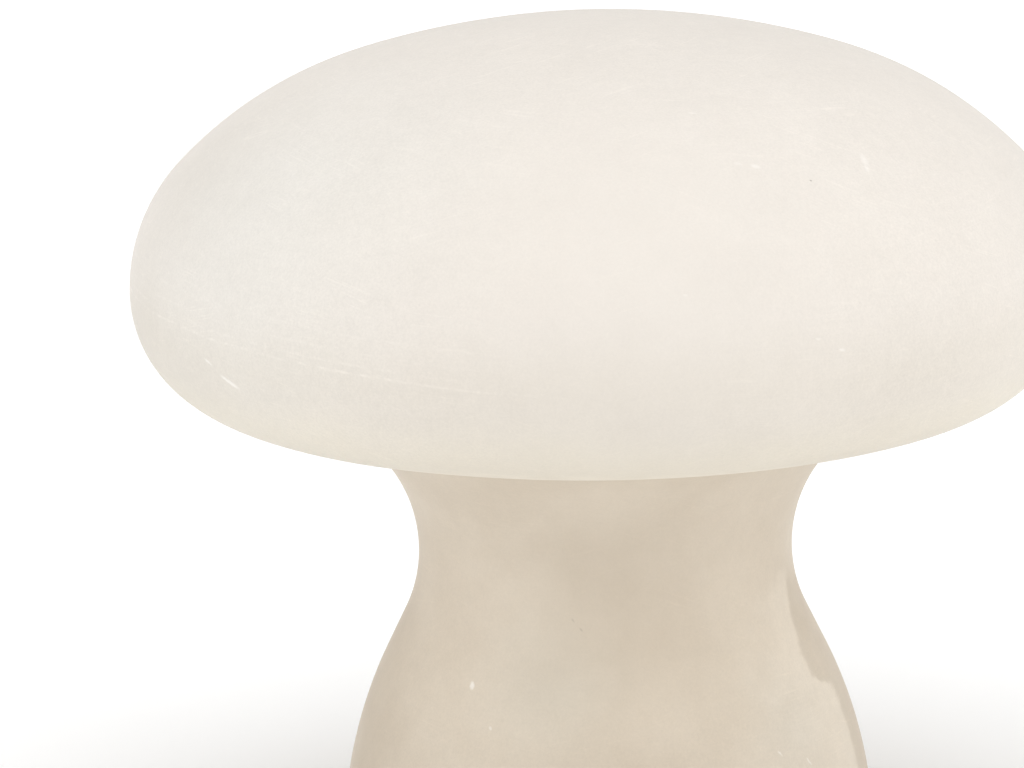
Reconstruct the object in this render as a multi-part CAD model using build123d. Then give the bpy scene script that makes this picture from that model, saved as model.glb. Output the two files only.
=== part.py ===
from build123d import *
import math
import os

# A turned stone table lamp, shaped like a mushroom: a hollow shade rests on a trumpet-topped
# stem, and a bulb stands between them. Sizes in mm, Z up, the origin on the table at the
# lamp's axis, the cord inlet at the rear (+Y).

# Shade: a hollow cap with a flattened dome, a round lower rim and a flat underside. The dome
# is three tangent arcs: the brow from the widest point up, the haunch, and the crown.
shade_radius = 152.4
brow_round = 56.3
brow_turn = 44.2
haunch_round = 128.6
haunch_turn = 72.2
rim_round = 38.3
shade_wall = 10.0
mouth_radius = 80.0
mouth_edge_round = 1.5

# Stem outline, from the foot up: belly, straight flank, waist, trumpet and rim bead.
neck_radius = 61.1
neck_height = 106.5
waist_round = 50.2
flank_lean = 25.9
flank_length = 14.3
belly_round = 156.1
foot_edge_round = 8.0
flare_round = 51.1
flare_sweep = 62.0
bead_height = 3.6

# Stem hollows: the bowl inside the trumpet, the pipe's bore and the wiring recess.
flare_wall = 14.0
bowl_below_neck = 2.5
bowl_floor_round = 4.0
spigot_wall = 8.0
spigot_height = 7.0
spigot_edge_round = 2.0
mouth_gap = 1.0
recess_radius = 46.0
recess_depth = 32.0
bore_gap = 0.25

# Soft pieces under the stem and between stem and shade.
felt_thickness = 2.0
felt_inset = 2.0
seat_ring_thickness = 1.5
seat_ring_width = 6.0
seat_ring_inset = 0.6

# Threaded lamp pipe, M10 x 1, and the hardware that clamps the stem with it.
pipe_radius = 5.0
pipe_bore = 4.0
pipe_below_nut = 3.0
pipe_in_hub = 6.0
thread_gap = 0.05
nut_flats = 14.0
nut_height = 5.0
lock_washer_radius = 9.0
lock_washer_thickness = 1.0
lock_teeth = 12
lock_tooth_depth = 1.6
base_washer_radius = 22.0
base_washer_thickness = 3.0
top_washer_radius = 20.0
top_washer_thickness = 2.0
end_bush_bore = 3.1
end_bush_flange = 1.5
end_bush_depth = 4.0

# Cord inlet bush at the rear of the foot.
inlet_height = 15.0
inlet_bore = 3.5
inlet_radius = 5.0
inlet_flange_radius = 8.0
inlet_flange_thickness = 3.0
inlet_seat_depth = 2.2
inlet_reach = 1.0
inlet_edge_round = 1.0

# Terminal block on the recess's ceiling.
block_length = 18.0
block_width = 18.0
block_height = 11.0
block_edge = 22.5
pole_spacing = 8.0
insert_size = 4.6
insert_length = 16.0
insert_gap = 0.1
block_screw_radius = 1.25
block_screw_head = 1.9
block_screw_head_height = 1.4
block_screw_spacing = 9.0
block_well_radius = 2.1

# Insulated leads from the terminal block up through the pipe.
lead_radius = 0.9
lead_hole_gap = 0.15
lead_bend = 5.6
lead_spacing = 3.0
lead_drop = 16.5
lead_start_run = 7.4
lead_pin_depth = 4.0
lead_kick_drop = 2.0

# Lampholder: threaded hub, porcelain cap and body, brass screw shell and contact.
hub_radius = 8.0
hub_flange_radius = 11.0
hub_flange_thickness = 1.5
hub_stand = 1.5
hub_gap = 0.15
holder_radius = 21.0
holder_wall = 3.5
holder_floor = 6.0
cap_height = 23.5
cap_edge_round = 3.0
body_height = 26.0
body_neck_radius = 19.5
body_skirt_height = 8.0
body_skirt_round = 1.0
body_edge_round = 2.0
body_floor = 4.0
body_spigot_depth = 2.0
body_spigot_gap = 0.3
shell_bore = 13.4
shell_thickness = 0.4
shell_height = 20.0
shell_gap = 0.2
strip_thickness = 0.5
strip_width = 6.0
strip_slot_gap = 0.6
strip_bend = 0.8
tongue_run = 5.0
tongue_rise = 2.5
tongue_tail = 3.5
tongue_dip = 1.1
terminal_offset = 9.25
terminal_length = 7.0
terminal_width = 8.0
terminal_height = 7.0
terminal_lead_offset = 7.0
clamp_screw_radius = 1.25
clamp_head_radius = 2.2
clamp_head_height = 1.4
clamp_screw_height = 2.5
holder_screw_radius = 1.5
holder_screw_head = 2.8
holder_screw_head_height = 2.0
holder_screw_offset = 14.5
holder_screw_gap = 0.15
holder_screw_end = 1.5

# Bulb with a 26 mm screw cap and a 60 mm globe.
contact_gap = 0.3
tip_radius = 4.5
tip_height = 2.0
tip_edge_round = 1.2
insulator_radius = 11.8
insulator_foot = 5.2
insulator_height = 4.5
cap_radius = 13.03
cap_thickness = 0.3
cap_length = 17.0
collar_radius = 13.3
collar_length = 4.0
collar_ledge = 0.5
cap_lip = 2.0
glass_neck_radius = 12.9
glass_wall = 1.0
globe_radius = 30.0
globe_round = 45.0
bulb_length = 106.0
mount_foot_radius = 11.4
mount_foot_height = 2.0
mount_cone_height = 12.0
mount_post_radius = 4.0
mount_post_height = 14.0
filament_count = 4
filament_radius = 1.2
filament_length = 34.0
filament_low_radius = 6.0
filament_high_radius = 11.0
filament_lift = 4.0
wire_radius = 0.4
wire_post_radius = 1.0

# How far an edge may be from a stated radius and height and still be the one meant.
edge_tolerance = 0.01

# Heights that follow from the sizes above, from the table up.
foot_z = felt_thickness
recess_z = foot_z + recess_depth
neck_z = foot_z + neck_height
bead_z = neck_z + flare_round * math.sin(math.radians(flare_sweep))
shoulder_z = bead_z + bead_height
spigot_z = shoulder_z + spigot_height
shade_z = shoulder_z + seat_ring_thickness
equator_z = shade_z + rim_round
bowl_z = neck_z - bowl_below_neck

base_nut_z = recess_z - base_washer_thickness - lock_washer_thickness - nut_height
pipe_z = base_nut_z - pipe_below_nut
block_z = recess_z - block_height
pole_z = recess_z - block_height / 2
insert_z = pole_z - insert_size / 2
block_middle = -block_edge - block_length / 2
top_nut_z = bowl_z + top_washer_thickness + lock_washer_thickness
hub_z = top_nut_z + nut_height
pipe_top_z = hub_z + pipe_in_hub
cap_z = hub_z + hub_stand
cap_floor_z = cap_z + holder_floor
hub_top_z = cap_floor_z + hub_flange_thickness
body_z = cap_z + cap_height
body_floor_z = body_z + body_floor
body_spigot_z = body_z - body_spigot_depth
terminal_z = body_spigot_z - terminal_height

tip_z = body_floor_z + strip_thickness + tongue_rise + contact_gap
insulator_z = tip_z + tip_height
screw_cap_z = insulator_z + insulator_height
collar_z = screw_cap_z + cap_length
glass_z = collar_z + collar_ledge
globe_z = tip_z + bulb_length - globe_radius
mount_top_z = glass_z + mount_foot_height + mount_cone_height + mount_post_height
filament_z = mount_top_z + filament_lift


def heading(degrees):
    """The direction at an angle above the horizontal, in the outline's plane."""
    return Vector(math.cos(math.radians(degrees)), math.sin(math.radians(degrees)))


# Centres of the dome's and the stem's arcs, and sizes that follow from them.
brow_centre = Vector(shade_radius - brow_round, equator_z)
haunch_centre = brow_centre - heading(brow_turn) * (haunch_round - brow_round)
crown_round = haunch_round + haunch_centre.X / heading(haunch_turn).X
crown_centre = haunch_centre - heading(haunch_turn) * (crown_round - haunch_round)
crown_z = crown_centre.Y + crown_round
lean = heading(flank_lean)
flare_centre = Vector(neck_radius + flare_round, neck_z)
waist_centre = Vector(neck_radius + waist_round, neck_z)
waist_end = waist_centre - lean * waist_round
flank_end = waist_end + Vector(lean.Y, -lean.X) * flank_length
belly_centre = flank_end - lean * belly_round
bead_radius = flare_centre.X - flare_round * math.cos(math.radians(flare_sweep))
spigot_radius = mouth_radius - mouth_gap
spigot_bore = spigot_radius - spigot_wall
cap_bore = holder_radius - holder_wall
shell_radius = shell_bore + shell_thickness
terminal_face = terminal_offset + terminal_length / 2


def belly_turn(height):
    """The angle of the belly's arc at a height."""
    return math.asin((height - belly_centre.Y) / belly_round)


def belly_reach(height):
    """The belly's radius at a height."""
    return belly_centre.X + belly_round * math.cos(belly_turn(height))


foot_radius = belly_reach(foot_z)
felt_radius = foot_radius - foot_edge_round - felt_inset
inlet_seat_y = belly_reach(inlet_height) - inlet_seat_depth


def ring(outer, inner, low, high):
    """A washer or tube about the lamp's axis."""
    return Pos(0, 0, low) * extrude(Circle(outer) - Circle(inner), high - low)


def disc(radius, low, high):
    """A plain disc or rod about the lamp's axis."""
    return Pos(0, 0, low) * extrude(Circle(radius), high - low)


def rod(radius, start, end):
    """A round rod from one point to another."""
    along = Vector(end) - Vector(start)
    return extrude(Plane(origin=start, z_dir=along) * Circle(radius), along.length)


def turned(outline):
    """The solid that a closed outline of (radius, height) edges makes about the lamp's axis."""
    return revolve(Plane.XZ * make_face(outline), Axis.Z)


def round_edges(solid, radius, height, size):
    """Rounds the circular edges of a radius that lie at a height."""
    near = []
    for edge in solid.edges().filter_by(GeomType.CIRCLE):
        miss = max(abs(edge.radius - radius), abs(edge.arc_center.Z - height))
        if miss < edge_tolerance:
            near.append(edge)
    return fillet(near, size)


def mirrored_pair(piece):
    """A piece with its copy half a turn round the lamp's axis."""
    return piece + Rot(0, 0, 180) * piece


def cap_solid(inset):
    """The shade's outer form, drawn in by an inset."""
    rim_start = shade_radius - rim_round
    return turned(
        CenterArc(brow_centre, brow_round - inset, 0, brow_turn)
        + CenterArc(haunch_centre, haunch_round - inset, brow_turn, haunch_turn - brow_turn)
        + CenterArc(crown_centre, crown_round - inset, haunch_turn, 90 - haunch_turn)
        + CenterArc((rim_start, equator_z), rim_round - inset, 0, -90)
        + Polyline((rim_start, shade_z + inset), (0, shade_z + inset), (0, crown_z - inset))
    )


def shade():
    """Hollow cap: dome, round rim and a flat underside with a round mouth."""
    top = shade_z + shade_wall
    cap = cap_solid(0) - cap_solid(shade_wall) - disc(mouth_radius, shade_z, top)
    cap = round_edges(cap, mouth_radius, shade_z, mouth_edge_round)
    return round_edges(cap, mouth_radius, top, mouth_edge_round)


def stem_body():
    """The stem's outside, solid: belly, flank, waist, trumpet, rim bead and spigot."""
    foot_turn = math.degrees(belly_turn(foot_z))
    bead_side = (bead_radius + bead_height / 2, bead_z + bead_height / 2)
    body = turned(
        Line((0, foot_z), (foot_radius, foot_z))
        + CenterArc(belly_centre, belly_round, foot_turn, flank_lean - foot_turn)
        + Line(flank_end, waist_end)
        + CenterArc(waist_centre, waist_round, 180 + flank_lean, -flank_lean)
        + CenterArc(flare_centre, flare_round, 180, -flare_sweep)
        + ThreePointArc((bead_radius, bead_z), bead_side, (bead_radius, shoulder_z))
        + Polyline(
            (bead_radius, shoulder_z),
            (spigot_radius, shoulder_z),
            (spigot_radius, spigot_z),
            (0, spigot_z),
            (0, foot_z),
        )
    )
    body = round_edges(body, foot_radius, foot_z, foot_edge_round)
    return round_edges(body, spigot_radius, spigot_z, spigot_edge_round)


def stem_bowl():
    """The hollow inside the trumpet, from the bowl's floor out through the spigot."""
    bowl_round = flare_round + flare_wall
    wall_turn = math.acos((flare_centre.X - spigot_bore) / bowl_round)
    wall_top = neck_z + bowl_round * math.sin(wall_turn)
    wall_foot = neck_radius - flare_wall
    bowl = turned(
        Polyline((0, spigot_z), (0, bowl_z), (wall_foot, bowl_z), (wall_foot, neck_z))
        + CenterArc(flare_centre, bowl_round, 180, -math.degrees(wall_turn))
        + Polyline((spigot_bore, wall_top), (spigot_bore, spigot_z), (0, spigot_z))
    )
    return round_edges(bowl, wall_foot, bowl_z, bowl_floor_round)


def inlet_cut():
    """The radial hole for the inlet bush, with the flat seat for its flange."""
    hole = rod(inlet_radius + bore_gap, (0, 0, inlet_height), (0, shade_radius, inlet_height))
    seat = rod(
        inlet_flange_radius + bore_gap,
        (0, inlet_seat_y, inlet_height),
        (0, shade_radius, inlet_height),
    )
    return hole + seat


def stem():
    """Turned stone column with the bowl, the pipe's bore, the recess and the cord inlet."""
    bore = disc(pipe_radius + bore_gap, recess_z, bowl_z)
    recess = disc(recess_radius, foot_z, recess_z)
    return stem_body() - stem_bowl() - bore - recess - inlet_cut()


def felt_pad():
    """Felt disc under the foot, which also closes the wiring recess."""
    return disc(felt_radius, 0, felt_thickness)


def seat_ring():
    """Soft ring on the stem's shoulder, which the shade rests on."""
    inner = mouth_radius + mouth_edge_round + seat_ring_inset
    return ring(inner + seat_ring_width, inner, shoulder_z, shade_z)


def cord_bush():
    """Inlet bush: a tube through the stem's wall with a flange outside."""
    inner_y = recess_radius - inlet_reach
    flange_y = inlet_seat_y + inlet_flange_thickness
    barrel = rod(inlet_radius, (0, inner_y, inlet_height), (0, inlet_seat_y, inlet_height))
    flange = rod(inlet_flange_radius, (0, inlet_seat_y, inlet_height), (0, flange_y, inlet_height))
    rim = flange.edges().filter_by(GeomType.CIRCLE).sort_by(Axis.Y)[-1]
    bore = rod(inlet_bore, (0, inner_y, inlet_height), (0, flange_y, inlet_height))
    return barrel + fillet(rim, inlet_edge_round) - bore


def hex_nut(low):
    """Thin hexagon nut on the lamp pipe."""
    outline = RegularPolygon(nut_flats / 2, 6, major_radius=False)
    nut = Pos(0, 0, low) * extrude(outline, nut_height)
    return nut - disc(pipe_radius + thread_gap, low, low + nut_height)


def lock_washer(low):
    """Toothed lock washer on the lamp pipe."""
    high = low + lock_washer_thickness
    washer = ring(lock_washer_radius, pipe_radius + bore_gap, low, high)
    notch = extrude(Rectangle(lock_tooth_depth * 2, lock_tooth_depth), lock_washer_thickness)
    for tooth in range(lock_teeth):
        washer -= Rot(0, 0, 360 / lock_teeth * tooth) * Pos(lock_washer_radius, 0, low) * notch
    return washer


def clamp_washer(radius, low, thickness):
    """Plain washer that presses on the stone."""
    return ring(radius, pipe_radius + bore_gap, low, low + thickness)


def lamp_pipe():
    """Threaded pipe from the recess up into the lampholder's hub."""
    return ring(pipe_radius, pipe_bore, pipe_z, pipe_top_z)


def pipe_end_bush():
    """Plastic bush in the pipe's lower end, which guards the leads from its edge."""
    sleeve = ring(pipe_bore - thread_gap, end_bush_bore, pipe_z, pipe_z + end_bush_depth)
    return sleeve + ring(pipe_radius, end_bush_bore, pipe_z - end_bush_flange, pipe_z)


def pole_places():
    """The middle of each of the terminal block's two poles."""
    return [(block_middle, side * pole_spacing / 2, pole_z) for side in (1, -1)]


def block_screw_places(pole):
    """The places of one pole's two clamping screws on the block's lower face."""
    x, y, _ = pole
    return [(x + end * block_screw_spacing / 2, y) for end in (1, -1)]


def terminal_block():
    """Two-pole block bonded to the recess's ceiling, open below each screw."""
    block = Pos(block_middle, 0, pole_z) * Box(block_length, block_width, block_height)
    cavity = insert_size + insert_gap * 2
    for pole in pole_places():
        block -= Pos(*pole) * Box(block_length, cavity, cavity)
        for x, y in block_screw_places(pole):
            block -= rod(block_well_radius, (x, y, block_z), (x, y, pole_z))
    return block


def terminal_inserts():
    """Brass bars in the terminal block, bored along for the wires."""
    group = []
    for pole in pole_places():
        x, y, z = pole
        half = insert_length / 2
        bar = Pos(*pole) * Box(insert_length, insert_size, insert_size)
        bar -= rod(lead_radius + lead_hole_gap, (x - half, y, z), (x + half, y, z))
        for screw_x, screw_y in block_screw_places(pole):
            bar -= rod(block_screw_radius, (screw_x, screw_y, insert_z), (screw_x, screw_y, z))
        group.append(bar)
    return Compound(children=group)


def block_screws():
    """Four clamping screws of the terminal block."""
    group = []
    screw_end = pole_z - lead_radius - lead_hole_gap
    head_z = insert_z - block_screw_head_height
    for pole in pole_places():
        for x, y in block_screw_places(pole):
            shank = rod(block_screw_radius - thread_gap, (x, y, insert_z), (x, y, screw_end))
            group.append(shank + rod(block_screw_head, (x, y, head_z), (x, y, insert_z)))
    return Compound(children=group)


def lead(side):
    """One insulated lead: block, loop below the pipe, up the pipe, lampholder terminal."""
    start_x = block_middle + insert_length / 2 - lead_pin_depth
    turn_x = lead_start_run - block_edge
    block_y = side * pole_spacing / 2
    pipe_y = side * lead_spacing / 2
    loop_z = pole_z - lead_drop
    end_x = side * terminal_lead_offset
    route = [
        (start_x, block_y, pole_z),
        (turn_x, block_y, pole_z),
        (turn_x, block_y, loop_z),
        (0, pipe_y, loop_z),
        (0, pipe_y, hub_top_z - lead_kick_drop),
        (end_x, pipe_y, terminal_z - lead_bend / 2),
        (end_x, pipe_y, terminal_z + lead_pin_depth),
    ]
    path = FilletPolyline(*route, radius=lead_bend)
    return sweep(Plane(origin=route[0], z_dir=(1, 0, 0)) * Circle(lead_radius), path=path)


def holder_hub():
    """Brass hub with the pipe's thread and a flange on the cap's floor."""
    bore = pipe_radius + thread_gap
    return ring(hub_radius, bore, hub_z, hub_top_z) + ring(hub_flange_radius, bore, cap_floor_z, hub_top_z)


def holder_screw_rods(radius, low, high):
    """Two rods on the lampholder's screw places."""
    return mirrored_pair(rod(radius, (0, holder_screw_offset, low), (0, holder_screw_offset, high)))


def holder_screws():
    """Two long screws that clamp the lampholder's cap to its body."""
    head_top_z = cap_z + holder_screw_head_height
    shanks = holder_screw_rods(holder_screw_radius, cap_z, body_floor_z - holder_screw_end)
    return shanks + holder_screw_rods(holder_screw_head, cap_z, head_top_z)


def holder_screw_holes():
    """The holes and head seats of the lampholder's screws."""
    head_top_z = cap_z + holder_screw_head_height
    holes = holder_screw_rods(
        holder_screw_radius + holder_screw_gap, cap_z, body_floor_z - holder_screw_end
    )
    return holes + holder_screw_rods(holder_screw_head + holder_screw_gap, cap_z, head_top_z)


def holder_cap():
    """Porcelain cup that closes the lampholder below."""
    cup = round_edges(disc(holder_radius, cap_z, body_z), holder_radius, cap_z, cap_edge_round)
    cup -= disc(cap_bore, cap_floor_z, body_z)
    cup -= disc(hub_radius + hub_gap, cap_z, cap_floor_z)
    return cup - holder_screw_holes()


def strip_slots():
    """Two slots through the lampholder's floor for the contact strips' legs."""
    slot = Box(
        strip_thickness + strip_slot_gap * 2,
        strip_width + strip_slot_gap * 2,
        body_floor_z - body_spigot_z,
    )
    return mirrored_pair(Pos(terminal_offset, 0, (body_floor_z + body_spigot_z) / 2) * slot)


def holder_body():
    """Porcelain sleeve with a floor, which holds the screw shell."""
    top_z = body_z + body_height
    skirt = disc(holder_radius, body_z, body_z + body_skirt_height)
    skirt = round_edges(skirt, holder_radius, body_z + body_skirt_height, body_skirt_round)
    sleeve = disc(body_neck_radius, body_z, top_z)
    sleeve = round_edges(sleeve, body_neck_radius, top_z, body_edge_round)
    spigot = disc(cap_bore - body_spigot_gap, body_spigot_z, body_z)
    socket = disc(shell_radius + shell_gap, body_floor_z, top_z)
    return skirt + sleeve + spigot - socket - strip_slots() - holder_screw_holes()


def strip(route):
    """A bent metal strip that follows a route of (x, height) points."""
    path = FilletPolyline(*route, radius=strip_bend)
    return extrude(Plane.XZ * trace(path, line_width=strip_thickness), strip_width / 2, both=True)


def contact_spring():
    """Bent tongue that rises from the line terminal to the bulb's centre contact."""
    floor = body_floor_z + strip_thickness / 2
    top = floor + tongue_rise
    return strip(
        [
            (terminal_offset, body_spigot_z),
            (terminal_offset, floor),
            (tongue_run, floor),
            (0, top),
            (-tongue_tail, top - tongue_dip),
        ]
    )


def screw_shell():
    """Brass shell that takes the bulb's thread, with its leg to the neutral terminal."""
    floor = body_floor_z + strip_thickness / 2
    shell = ring(shell_radius, shell_bore, body_floor_z, body_floor_z + shell_height)
    leg = [(-shell_bore, floor), (-terminal_offset, floor), (-terminal_offset, body_spigot_z)]
    return shell + strip(leg)


def holder_terminals():
    """Two brass terminals under the lampholder's floor."""
    y = lead_spacing / 2
    middle_z = terminal_z + terminal_height / 2
    screw_z = terminal_z + clamp_screw_height
    block = Pos(terminal_offset, 0, middle_z) * Box(terminal_length, terminal_width, terminal_height)
    block -= rod(
        lead_radius + lead_hole_gap,
        (terminal_lead_offset, y, terminal_z),
        (terminal_lead_offset, y, terminal_z + lead_pin_depth + lead_hole_gap),
    )
    block -= rod(clamp_screw_radius, (terminal_lead_offset, y, screw_z), (terminal_face, y, screw_z))
    return mirrored_pair(block)


def terminal_screws():
    """Clamping screws of the lampholder's terminals."""
    y = lead_spacing / 2
    screw_z = terminal_z + clamp_screw_height
    start = (terminal_lead_offset + lead_radius + lead_hole_gap, y, screw_z)
    shank = rod(clamp_screw_radius - thread_gap, start, (terminal_face, y, screw_z))
    head_end = (terminal_face + clamp_head_height, y, screw_z)
    return mirrored_pair(shank + rod(clamp_head_radius, (terminal_face, y, screw_z), head_end))


def bulb_contact():
    """Solder contact at the bulb's tip."""
    return round_edges(disc(tip_radius, tip_z, insulator_z), tip_radius, tip_z, tip_edge_round)


def bulb_insulator():
    """Tapered insulator between the tip and the screw cap."""
    return turned(
        Polyline(
            (0, insulator_z),
            (insulator_foot, insulator_z),
            (insulator_radius, screw_cap_z),
            (0, screw_cap_z),
            close=True,
        )
    )


def bulb_cap():
    """Thin screw cap with a collar that the glass stands in."""
    inner = cap_radius - cap_thickness
    lip = ring(cap_radius, inner - cap_lip, screw_cap_z, screw_cap_z + cap_thickness)
    wall = ring(cap_radius, inner, screw_cap_z, collar_z)
    ledge = ring(collar_radius, inner - cap_lip, collar_z, glass_z)
    collar = ring(collar_radius, glass_neck_radius + thread_gap, glass_z, collar_z + collar_length)
    return lip + wall + ledge + collar


def glass_form(inset):
    """The bulb's neck, tapering curve and globe, drawn in by an inset."""
    neck = glass_neck_radius - inset
    curve_x = glass_neck_radius + globe_round
    curve_drop = math.sqrt((globe_radius + globe_round) ** 2 - curve_x**2)
    curve_z = globe_z - curve_drop
    turn = math.degrees(math.atan2(curve_drop, curve_x))
    radius = globe_radius - inset
    return turned(
        Polyline((0, globe_z + radius), (0, glass_z), (neck, glass_z), (neck, curve_z))
        + CenterArc((curve_x, curve_z), globe_round + inset, 180, -turn)
        + CenterArc((0, globe_z), radius, -turn, 90 + turn)
    )


def bulb_glass():
    """Blown glass envelope, open at its neck."""
    return glass_form(0) - glass_form(glass_wall)


def bulb_mount():
    """Flared glass stem that carries the wires inside the bulb."""
    cone_z = glass_z + mount_foot_height
    post_z = cone_z + mount_cone_height
    return turned(
        Polyline(
            (0, glass_z),
            (mount_foot_radius, glass_z),
            (mount_foot_radius, cone_z),
            (mount_post_radius, post_z),
            (mount_post_radius, mount_top_z),
            (0, mount_top_z),
            close=True,
        )
    )


def filament_ends():
    """The low and high end of each filament."""
    rise = math.sqrt(filament_length**2 - (filament_high_radius - filament_low_radius) ** 2)
    ends = []
    for index in range(filament_count):
        turn = 2 * math.pi * index / filament_count
        along = Vector(math.cos(turn), math.sin(turn))
        low = along * filament_low_radius + Vector(0, 0, filament_z)
        high = along * filament_high_radius + Vector(0, 0, filament_z + rise)
        ends.append((low, high))
    return ends


def bulb_filaments():
    """Straight light filaments, leaning outward in a ring."""
    return Compound(children=[rod(filament_radius, low, high) for low, high in filament_ends()])


def filament_wires():
    """Post and support wires that hold the filaments on the glass stem."""
    ends = filament_ends()
    top = Vector(0, 0, ends[0][1].Z)
    wires = rod(wire_post_radius, (0, 0, mount_top_z), top)
    for low, high in ends:
        outward = Vector(low.X, low.Y).normalized()
        foot = outward * (mount_post_radius - wire_radius) + Vector(0, 0, mount_top_z)
        wires += rod(wire_radius, foot, low)
        wires += rod(wire_radius, top - Vector(0, 0, wire_post_radius), high)
    return wires - bulb_mount() - [rod(filament_radius, low, high) for low, high in ends]


def main():
    os.makedirs("parts", exist_ok=True)
    parts = {
        "shade": shade(),
        "seat_ring": seat_ring(),
        "stem": stem(),
        "felt_pad": felt_pad(),
        "cord_bush": cord_bush(),
        "lamp_pipe": lamp_pipe(),
        "pipe_end_bush": pipe_end_bush(),
        "base_washer": clamp_washer(
            base_washer_radius, recess_z - base_washer_thickness, base_washer_thickness
        ),
        "base_lock_washer": lock_washer(base_nut_z + nut_height),
        "base_nut": hex_nut(base_nut_z),
        "top_washer": clamp_washer(top_washer_radius, bowl_z, top_washer_thickness),
        "top_lock_washer": lock_washer(bowl_z + top_washer_thickness),
        "top_nut": hex_nut(top_nut_z),
        "terminal_block": terminal_block(),
        "terminal_inserts": terminal_inserts(),
        "block_screws": block_screws(),
        "line_lead": lead(1),
        "neutral_lead": lead(-1),
        "holder_hub": holder_hub(),
        "holder_cap": holder_cap(),
        "holder_screws": holder_screws(),
        "holder_body": holder_body(),
        "holder_terminals": holder_terminals(),
        "terminal_screws": terminal_screws(),
        "contact_spring": contact_spring(),
        "screw_shell": screw_shell(),
        "bulb_contact": bulb_contact(),
        "bulb_insulator": bulb_insulator(),
        "bulb_cap": bulb_cap(),
        "bulb_mount": bulb_mount(),
        "filament_wires": filament_wires(),
        "bulb_filaments": bulb_filaments(),
        "bulb_glass": bulb_glass(),
    }
    for name, solid in parts.items():
        export_step(solid, f"parts/{name}.step")


main()
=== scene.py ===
import math
from functools import reduce

import bmesh
import bpy
from mathutils import Matrix, Vector, noise


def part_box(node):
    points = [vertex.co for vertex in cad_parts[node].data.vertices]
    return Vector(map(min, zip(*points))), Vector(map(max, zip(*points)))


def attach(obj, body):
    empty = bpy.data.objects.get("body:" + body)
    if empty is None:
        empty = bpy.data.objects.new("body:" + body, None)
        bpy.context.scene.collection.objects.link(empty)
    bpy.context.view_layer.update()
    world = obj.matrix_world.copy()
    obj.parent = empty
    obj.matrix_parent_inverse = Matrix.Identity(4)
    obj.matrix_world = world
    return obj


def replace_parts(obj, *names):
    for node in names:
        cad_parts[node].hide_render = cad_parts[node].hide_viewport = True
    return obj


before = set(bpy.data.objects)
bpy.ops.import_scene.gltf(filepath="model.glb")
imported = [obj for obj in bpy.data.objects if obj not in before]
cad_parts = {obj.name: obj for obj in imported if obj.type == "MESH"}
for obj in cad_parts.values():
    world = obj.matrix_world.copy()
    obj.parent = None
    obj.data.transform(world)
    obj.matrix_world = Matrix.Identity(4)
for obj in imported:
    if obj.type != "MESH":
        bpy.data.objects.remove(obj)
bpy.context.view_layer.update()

# Metres and degrees, in the CAD's frame: Z up, the lamp's axis at X = Y = 0, the rear at +Y.
MM = 0.001

# Camera: frame width and focal length in pixels, sensor width in mm, distance, angles, and how far the
# shade's axis and equator lie to the right of and above what the camera aims at.
PHOTO_WIDTH = 1024
FOCAL_PX = 4500.0
SENSOR = 36.0
CAMERA_DISTANCE = 1.4577
CAMERA_ELEVATION = 11.20
CAMERA_ROLL = -1.00
AXIS_RIGHT = 0.02953
EQUATOR_UP = 0.03391
NEAREST_SEEN = 0.05
FARTHEST_SEEN = 50.0

# Shade, as turned.
SHADE_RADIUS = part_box("shade")[1].x
SHADE_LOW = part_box("shade")[0].z
RIM_ROUND = 38.3 * MM
BROW_ROUND = 56.3 * MM
BROW_TURN = 44.2
HAUNCH_ROUND = 128.6 * MM
HAUNCH_TURN = 72.2
SHADE_WALL = 10.0 * MM
MOUTH_RADIUS = 80.0 * MM
MOUTH_EDGE = 1.5 * MM
EQUATOR = SHADE_LOW + RIM_ROUND

# Stem, as turned.
FOOT_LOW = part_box("stem")[0].z
SPIGOT_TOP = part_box("stem")[1].z
NECK_RADIUS = 61.1 * MM
NECK_HEIGHT = FOOT_LOW + 106.5 * MM
WAIST_ROUND = 50.2 * MM
FLANK_LEAN = 25.9
FLANK_LENGTH = 14.3 * MM
BELLY_ROUND = 156.1 * MM
FOOT_EDGE = 8.0 * MM
FLARE_ROUND = 51.1 * MM
FLARE_SWEEP = 62.0
BEAD = 3.6 * MM
FLARE_WALL = 14.0 * MM
BOWL_DEPTH = 2.5 * MM
BOWL_CORNER = 2.4 * MM
MOUTH_GAP = 1.0 * MM
SPIGOT_WALL = 8.0 * MM
SPIGOT_EDGE = 2.0 * MM
SPIGOT_RADIUS = MOUTH_RADIUS - MOUTH_GAP
SPIGOT_BORE = SPIGOT_RADIUS - SPIGOT_WALL
RECESS_RADIUS = 46.0 * MM
RECESS_DEPTH = 32.0 * MM
RECESS_TOP = FOOT_LOW + RECESS_DEPTH
BORE_RADIUS = 5.25 * MM

# Cord inlet through the rear of the foot.
INLET_HEIGHT = 15.0 * MM
INLET_HOLE = 5.25 * MM
INLET_SEAT = 8.25 * MM
INLET_SEAT_DEPTH = 3.0 * MM

# Bulb.
GLASS_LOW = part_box("bulb_glass")[0].z
GLASS_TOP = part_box("bulb_glass")[1].z
GLASS_WALL = 1.0 * MM
GLOBE_RADIUS = 30.0 * MM
GLOBE_ROUND = 45.0 * MM
GLASS_NECK = 12.9 * MM
CAP_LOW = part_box("bulb_cap")[0].z
COLLAR_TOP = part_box("bulb_cap")[1].z
COLLAR = 4.0 * MM
COLLAR_RADIUS = 13.3 * MM
CAP_CREST = 13.03 * MM
CAP_ROOT = 12.1 * MM
CAP_INSIDE = 11.8 * MM
CAP_LIP = 10.8 * MM
CAP_EDGE = 0.3 * MM
COLLAR_FOOT = 0.4 * MM
COLLAR_EDGE = 0.25 * MM
GLASS_GAP = 0.05 * MM
INCH = 25.4 * MM
THREAD_PITCH = INCH / 7
THREAD_START = 0.2 * MM
THREAD_ENDS = 1.6 * MM

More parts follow.
